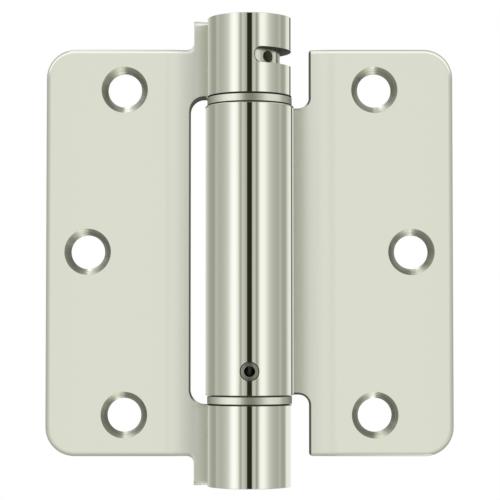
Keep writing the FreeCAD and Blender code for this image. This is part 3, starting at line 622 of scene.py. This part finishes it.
# The tension slot's sides, which carry painted shade: half its height and a little more, and the
# depths where they start
SLOT_SIDES = 1.9 * MM
SKIN = (0.22 * MM, 0.09 * MM)
# The painted shade rim at the slot's end: how far it reaches either way, and where along the slot it
# starts
RIM_INSIDE, RIM_OUTSIDE, RIM_SOFT = 0.3 * MM, 0.16 * MM, 0.06 * MM
RIM_FADE = (0.9 * MM, 0.3 * MM)
RIM_SHARE = 0.8
# The hollow pin's bore, and the height of the bore wall that shows behind it
PIN_BORE = (1.22 * MM, 1.28 * MM)
PIN_HALF, PIN_SOFT = 1.4 * MM, 0.1 * MM
# The collar's holes: half their height, and the radius inside which they are dark
HOLE_HALF, HOLE_SOFT = 1.4 * MM, 0.05 * MM
HOLE_START = (6.45 * MM, 6.55 * MM)

# The plain metals, and the grain that makes their shine a little uneven
# The collar's nickel is darker than the leaves', as painted shade from the knuckle round it
COLLAR_SHADED_NICKEL, COLLAR_ROUGHNESS = (0.60, 0.61, 0.535), 0.2
PIN_COLOUR, PIN_ROUGHNESS = (0.38, 0.39, 0.34), 0.5
PLUG_COLOUR, PLUG_ROUGHNESS = (0.30, 0.30, 0.28), 0.35
SPRING_COLOUR, SPRING_ROUGHNESS = (0.18, 0.18, 0.18), 0.35
GRAIN_SCALE, GRAIN_DETAIL = 500, 3
GRAIN_RANGE = (0.3, 0.7)
GRAIN_LOW, GRAIN_HIGH = 0.85, 1.15

# Satin washers: turned lines that run round, finer grit, and where the flat faces, with their painted
# shade, start
WASHER_LINES, WASHER_STRETCH = 900, (0.02, 0.02, 4)
WASHER_GRIT, GRIT_SHARE = 2600, 0.8
WASHER_DETAIL = 2
WASHER_BUMP, WASHER_BUMP_STRENGTH = 0.03 * MM, 0.5
WASHER_FLAT = 0.74 * MM
WASHER_ROUGHNESS = 0.2


def past_corner(graph, x, z, corner, outward, round_off):
    """How far a point lies outside an opening with a rounded corner, given the rounding's centre."""
    past_x = graph.most(graph.less(x, corner[0]), 0.0)
    rise = graph.less(z, corner[1]) if outward else graph.less(corner[1], z)
    return graph.less(graph.length(past_x, graph.most(rise, 0.0)), round_off)


def faded(graph, turn, facing_up):
    """0 where an opening's edge has turned to face up, so that the painted shade line stays on the
    edges that face down.
    """
    gone = graph.product(graph.ramp(turn, *TURNED_UP), graph.most(facing_up, 0.0))
    return graph.rest(gone)


def edge_shade_masks(graph, x, y, z):
    """1 close to the slot in the frame leaf and the notches in the door leaf, for a painted shade line
    along the cut.

    The second value is 1 on the same cuts further from the front, which are dull."""
    wide = graph.math("ABSOLUTE", x)
    above = graph.less(z, KNUCKLE_MIDDLE)
    high = graph.math("ABSOLUTE", above)
    upper = graph.math("SIGN", above)
    lower = graph.product(upper, -1.0)
    right = graph.math("GREATER_THAN", x, 0.0)
    left = graph.rest(right)

    corner = (SLOT_EDGE - SLOT_ROUND, SLOT_HALF - SLOT_ROUND)
    slot = past_corner(graph, wide, high, corner, True, SLOT_ROUND)
    slot_turn = graph.ramp(high, corner[1], SLOT_HALF + CORNER_SOFT)
    crescent = graph.product(slot_turn, graph.most(upper, 0.0))
    width = graph.total(EDGE_SHADE_WIDTH, graph.product(crescent, CRESCENT_WIDTH))
    on_slot = graph.fall(graph.less(slot, width), -SLOT_SOFT, SLOT_SOFT)
    on_slot = graph.product(on_slot, faded(graph, slot_turn, lower))

    corner = (NOTCH_EDGE - NOTCH_ROUND, NOTCH_HALF + NOTCH_ROUND)
    notch = past_corner(graph, wide, high, corner, False, NOTCH_ROUND)
    notch_turn = graph.fall(high, NOTCH_HALF - CORNER_SOFT, corner[1])
    on_notch = graph.fall(notch, EDGE_SHADE_WIDTH + NOTCH_FADE[0], EDGE_SHADE_WIDTH + NOTCH_FADE[1])
    on_notch = graph.product(on_notch, faded(graph, notch_turn, upper))
    edges = graph.total(graph.product(on_slot, left), graph.product(on_notch, right))

    aside = graph.less(wide, BEND_CENTRE[0])
    behind = graph.less(y, BEND_CENTRE[1])
    depth = graph.less(BEND_FRONT, graph.length(aside, behind))
    depth = graph.less(depth, graph.product(crescent, left, CRESCENT_DEPTH))
    near_front = graph.fall(depth, DARK_DEPTH, DARK_DEPTH + DARK_FADE)
    return graph.product(edges, near_front), graph.product(edges, graph.rest(near_front))


def from_screw_hole(graph, x, z):
    """How far each point lies from its screw hole, then how far across and up."""
    outer = graph.math("GREATER_THAN", graph.math("ABSOLUTE", z), OUTER_LEVEL / 2)
    reach = graph.total(MIDDLE_ASIDE, graph.product(outer, OUTER_ASIDE - MIDDLE_ASIDE))
    level = graph.product(outer, graph.math("SIGN", z), OUTER_LEVEL)
    across = graph.less(x, graph.product(graph.math("SIGN", x), reach))
    up = graph.less(z, level)
    return graph.length(across, up), across, up


def drilled_cones(graph, x, z):
    """1 on the cones of the screw holes, and their painted highlight and shade there."""
    from_hole, across, up = from_screw_hole(graph, x, z)
    turn = graph.math("ARCTANGENT", graph.math("DIVIDE", graph.product(across, -1.0), up))
    stops = [(math.radians(angle), grey) for angle, grey in CONE_HIGHLIGHT_STOPS]
    painted_highlight = graph.steps(turn, -math.pi / 2, math.pi / 2, stops)
    wobble = graph.product(graph.noise(WOBBLE_SCALE, WOBBLE_DETAIL), WOBBLE)
    marks = graph.turned(graph.total(from_hole, wobble), MARK_SCALE)
    painted_highlight = graph.product(painted_highlight, graph.ramp(marks, *MARK_CONTRAST))
    return graph.between(from_hole, CONE_START, CONE_END, CONE_SOFT), painted_highlight


def knuckle_faces(graph, z):
    """1 on the end faces of the knuckles, where shade in the gaps is painted."""
    high = graph.math("ABSOLUTE", graph.less(z, KNUCKLE_MIDDLE))
    return graph.total(
        graph.between(high, NOTCH_HALF - FACE_RIM, NOTCH_HALF + FACE_PAST, FACE_SOFT),
        graph.between(high, SLOT_HALF - FACE_PAST, SLOT_HALF + FACE_RIM, FACE_SOFT),
    )


def tension_slot_sides(graph, radius, z):
    """1 on the sides of the tension slot, below the knuckle's skin, where shade is painted."""
    below_skin = graph.fall(radius, END_RADIUS - SKIN[0], END_RADIUS - SKIN[1])
    from_level = graph.math("ABSOLUTE", graph.less(z, SLOT_LEVEL))
    return graph.product(below_skin, graph.math("LESS_THAN", from_level, SLOT_SIDES))


def tension_slot_rim(graph, x, y, z):
    """1 on the rim of the tension slot's end that faces the front, where a shade outline is painted.
    """
    middle = END_RADIUS * math.sin(math.radians(SLOT_END_ANGLE))
    across = graph.math("MINIMUM", graph.less(x, middle), 0.0)
    away = graph.length(across, graph.less(z, SLOT_LEVEL))
    return graph.product(
        graph.between(away, SLOT_END_ROUND - RIM_INSIDE, SLOT_END_ROUND + RIM_OUTSIDE, RIM_SOFT),
        graph.fall(x, middle - RIM_FADE[0], middle - RIM_FADE[1]),
        graph.math("LESS_THAN", y, 0.0),
    )


def leaf_nickel():
    """Polished plate, duller in the bends, with painted shade along the slot and notch edges, in the
    bore, on the tension slot and the knuckles' end faces and a little on the frame leaf's bend, and a
    painted highlight on the drilled cones.
    """
    material, graph, shader = new_material("leaf_nickel")
    x, y, z = graph.place()
    radius = graph.length(x, y)
    wide = graph.math("ABSOLUTE", x)
    on_leaf = graph.ramp(radius, *LEAF_START)
    on_barrel = graph.rest(on_leaf)
    bend = graph.product(on_leaf, graph.fall(wide, *BEND_END))
    # Painted shade on the frame leaf's bend, near the barrel
    painted_bend_shade = graph.product(
        graph.fall(wide, *BEND_SHADE_END), graph.ramp(wide, *BEND_SHADE_START), on_leaf,
        graph.math("LESS_THAN", x, 0.0),
    )
    # Painted shade lines along the slot's and notches' edges, and the duller cut faces behind them
    edges, cut = [graph.product(on_leaf, mask) for mask in edge_shade_masks(graph, x, y, z)]
    # The drilled cones, with a painted highlight and shade round each hole
    cone, painted_highlight = drilled_cones(graph, x, z)
    cone = graph.product(on_leaf, cone)
    inside = graph.fall(radius, *BORE_EDGE)
    sides = graph.product(on_barrel, tension_slot_sides(graph, radius, z))
    # Painted shade outline at the tension slot's end
    slot_rim = graph.product(on_barrel, tension_slot_rim(graph, x, y, z))
    # Painted shade in the bore, on the tension slot's sides and on the knuckles' end faces
    dark = graph.most(inside, sides, graph.product(on_barrel, knuckle_faces(graph, z)))
    painted_shade_mask = graph.most(edges, dark)
    behind_pin = graph.product(
        graph.between(z, PIN_LEVEL - PIN_HALF, PIN_LEVEL + PIN_HALF, PIN_SOFT),
        inside, graph.math("GREATER_THAN", y, 0.0),
    )

    base = graph.mix(bend, PLATE_NICKEL, BENT_NICKEL)
    # Painted shade on the frame leaf's bend
    base = graph.mix(graph.product(painted_bend_shade, BEND_SHADE_SHARE), base, SHADE)
    # Painted highlight and shade on the drilled cones
    base = graph.mix(cone, base, graph.mix(painted_highlight, SHADE, CONE_HIGHLIGHT))
    base = graph.mix(cut, base, CUT_STEEL)
    # Painted shade along the slot's and notches' edges
    base = graph.mix(edges, base, EDGE_SHADE)
    # Painted shade outline at the tension slot's end
    base = graph.mix(graph.product(slot_rim, RIM_SHARE), base, SLOT_RIM_SHADE)
    # Painted shade in the bore, on the tension slot's sides and on the knuckles' end faces
    base = graph.mix(dark, base, PAINTED_SHADE)
    graph.link(base, shader.inputs["Base Color"])

    # Where shade is painted, the metal is also rougher and not metallic
    painted_shade_roughness = graph.less(graph.product(painted_shade_mask, PAINTED_SHADE_ROUGHER), graph.product(behind_pin, PIN_SMOOTHER))
    roughness = graph.total(
        PLATE_ROUGHNESS,
        graph.product(on_leaf, LEAF_ROUGHER),
        graph.product(bend, BEND_ROUGHER),
        graph.product(graph.noise(CLOUD_SCALE, CLOUD_DETAIL), CLOUD_ROUGHER),
        graph.product(cone, CONE_ROUGHER),
        graph.product(cut, CUT_ROUGHER),
        painted_shade_roughness,
    )
    graph.link(roughness, shader.inputs["Roughness"])
    graph.link(graph.rest(painted_shade_mask), shader.inputs["Metallic"])
    return material


def plain_metal(name, colour, roughness):
    """One metal with a slightly uneven shine."""
    material, graph, shader = new_material(name)
    grain = graph.noise(GRAIN_SCALE, GRAIN_DETAIL)
    shine = graph.ramp(grain, *GRAIN_RANGE, roughness * GRAIN_LOW, roughness * GRAIN_HIGH)
    graph.link(shine, shader.inputs["Roughness"])
    shader.inputs["Base Color"].default_value = (*colour, 1)
    shader.inputs["Metallic"].default_value = 1.0
    return material, graph, shader


def hollow_metal(graph, shader, hollow, colour):
    """Bare metal outside, dull and dark where hollow is 1."""
    base = graph.mix(hollow, (*colour, 1), HOLLOW_STEEL)
    graph.link(base, shader.inputs["Base Color"])
    graph.link(graph.rest(hollow), shader.inputs["Metallic"])


def collar_nickel():
    """Turned collar, a darker nickel as painted shade, dark in the holes for the pin."""
    material, graph, shader = plain_metal("collar_nickel", COLLAR_SHADED_NICKEL, COLLAR_ROUGHNESS)
    x, y, z = graph.place()
    in_hole = graph.product(
        graph.fall(graph.length(x, y), *HOLE_START),
        graph.between(z, SLOT_LEVEL - HOLE_HALF, SLOT_LEVEL + HOLE_HALF, HOLE_SOFT),
    )
    hollow_metal(graph, shader, in_hole, COLLAR_SHADED_NICKEL)
    return material


def pin_steel():
    """Rolled pin, dark inside."""
    material, graph, shader = plain_metal("pin_steel", PIN_COLOUR, PIN_ROUGHNESS)
    x, y, z = graph.place()
    from_axis = graph.length(x, graph.less(z, PIN_LEVEL))
    hollow_metal(graph, shader, graph.fall(from_axis, *PIN_BORE), PIN_COLOUR)
    return material


def washer_steel():
    """Satin turned washers, with painted shade on the flat faces beside the knuckles."""
    material, graph, shader = new_material("washer_steel")
    x, y, z = graph.place()
    lines = graph.noise(WASHER_LINES, WASHER_DETAIL, WASHER_STRETCH)
    grit = graph.product(graph.noise(WASHER_GRIT, WASHER_DETAIL), GRIT_SHARE)
    normal = graph.bump(graph.total(lines, grit), WASHER_BUMP, WASHER_BUMP_STRENGTH)
    graph.link(normal, shader.inputs["Normal"])
    high = graph.math("ABSOLUTE", graph.less(z, KNUCKLE_MIDDLE))
    from_washer = graph.math("ABSOLUTE", graph.less(high, (SLOT_HALF + NOTCH_HALF) / 2))
    # Painted shade on the washers' flat faces, in the gaps beside the knuckles
    flat = graph.math("GREATER_THAN", from_washer, WASHER_FLAT)
    base = graph.mix(flat, PLATE_NICKEL, PAINTED_SHADE)
    graph.link(base, shader.inputs["Base Color"])
    graph.link(graph.rest(flat), shader.inputs["Metallic"])
    shader.inputs["Roughness"].default_value = WASHER_ROUGHNESS
    return material


def dress(materials):
    """Gives each CAD node its material."""
    for name, material in materials.items():
        node = frame["nodes"][name]
        for slot in node.material_slots:
            slot.material = material


def main():
    bpy.context.scene.view_settings.view_transform = "Standard"
    make_camera()
    make_world()
    make_tent()
    make_wrap()
    make_floor()
    make_overhead()
    leaf = leaf_nickel()
    washers = washer_steel()
    dress({
        "frame_leaf": leaf,
        "door_leaf": leaf,
        "upper_washer": washers,
        "lower_washer": washers,
        "tension_collar": collar_nickel(),
        "anchor_plug": plain_metal("plug_steel", PLUG_COLOUR, PLUG_ROUGHNESS)[0],
        "anchor_pin": pin_steel(),
        "torsion_spring": plain_metal("spring_steel", SPRING_COLOUR, SPRING_ROUGHNESS)[0],
    })


main()
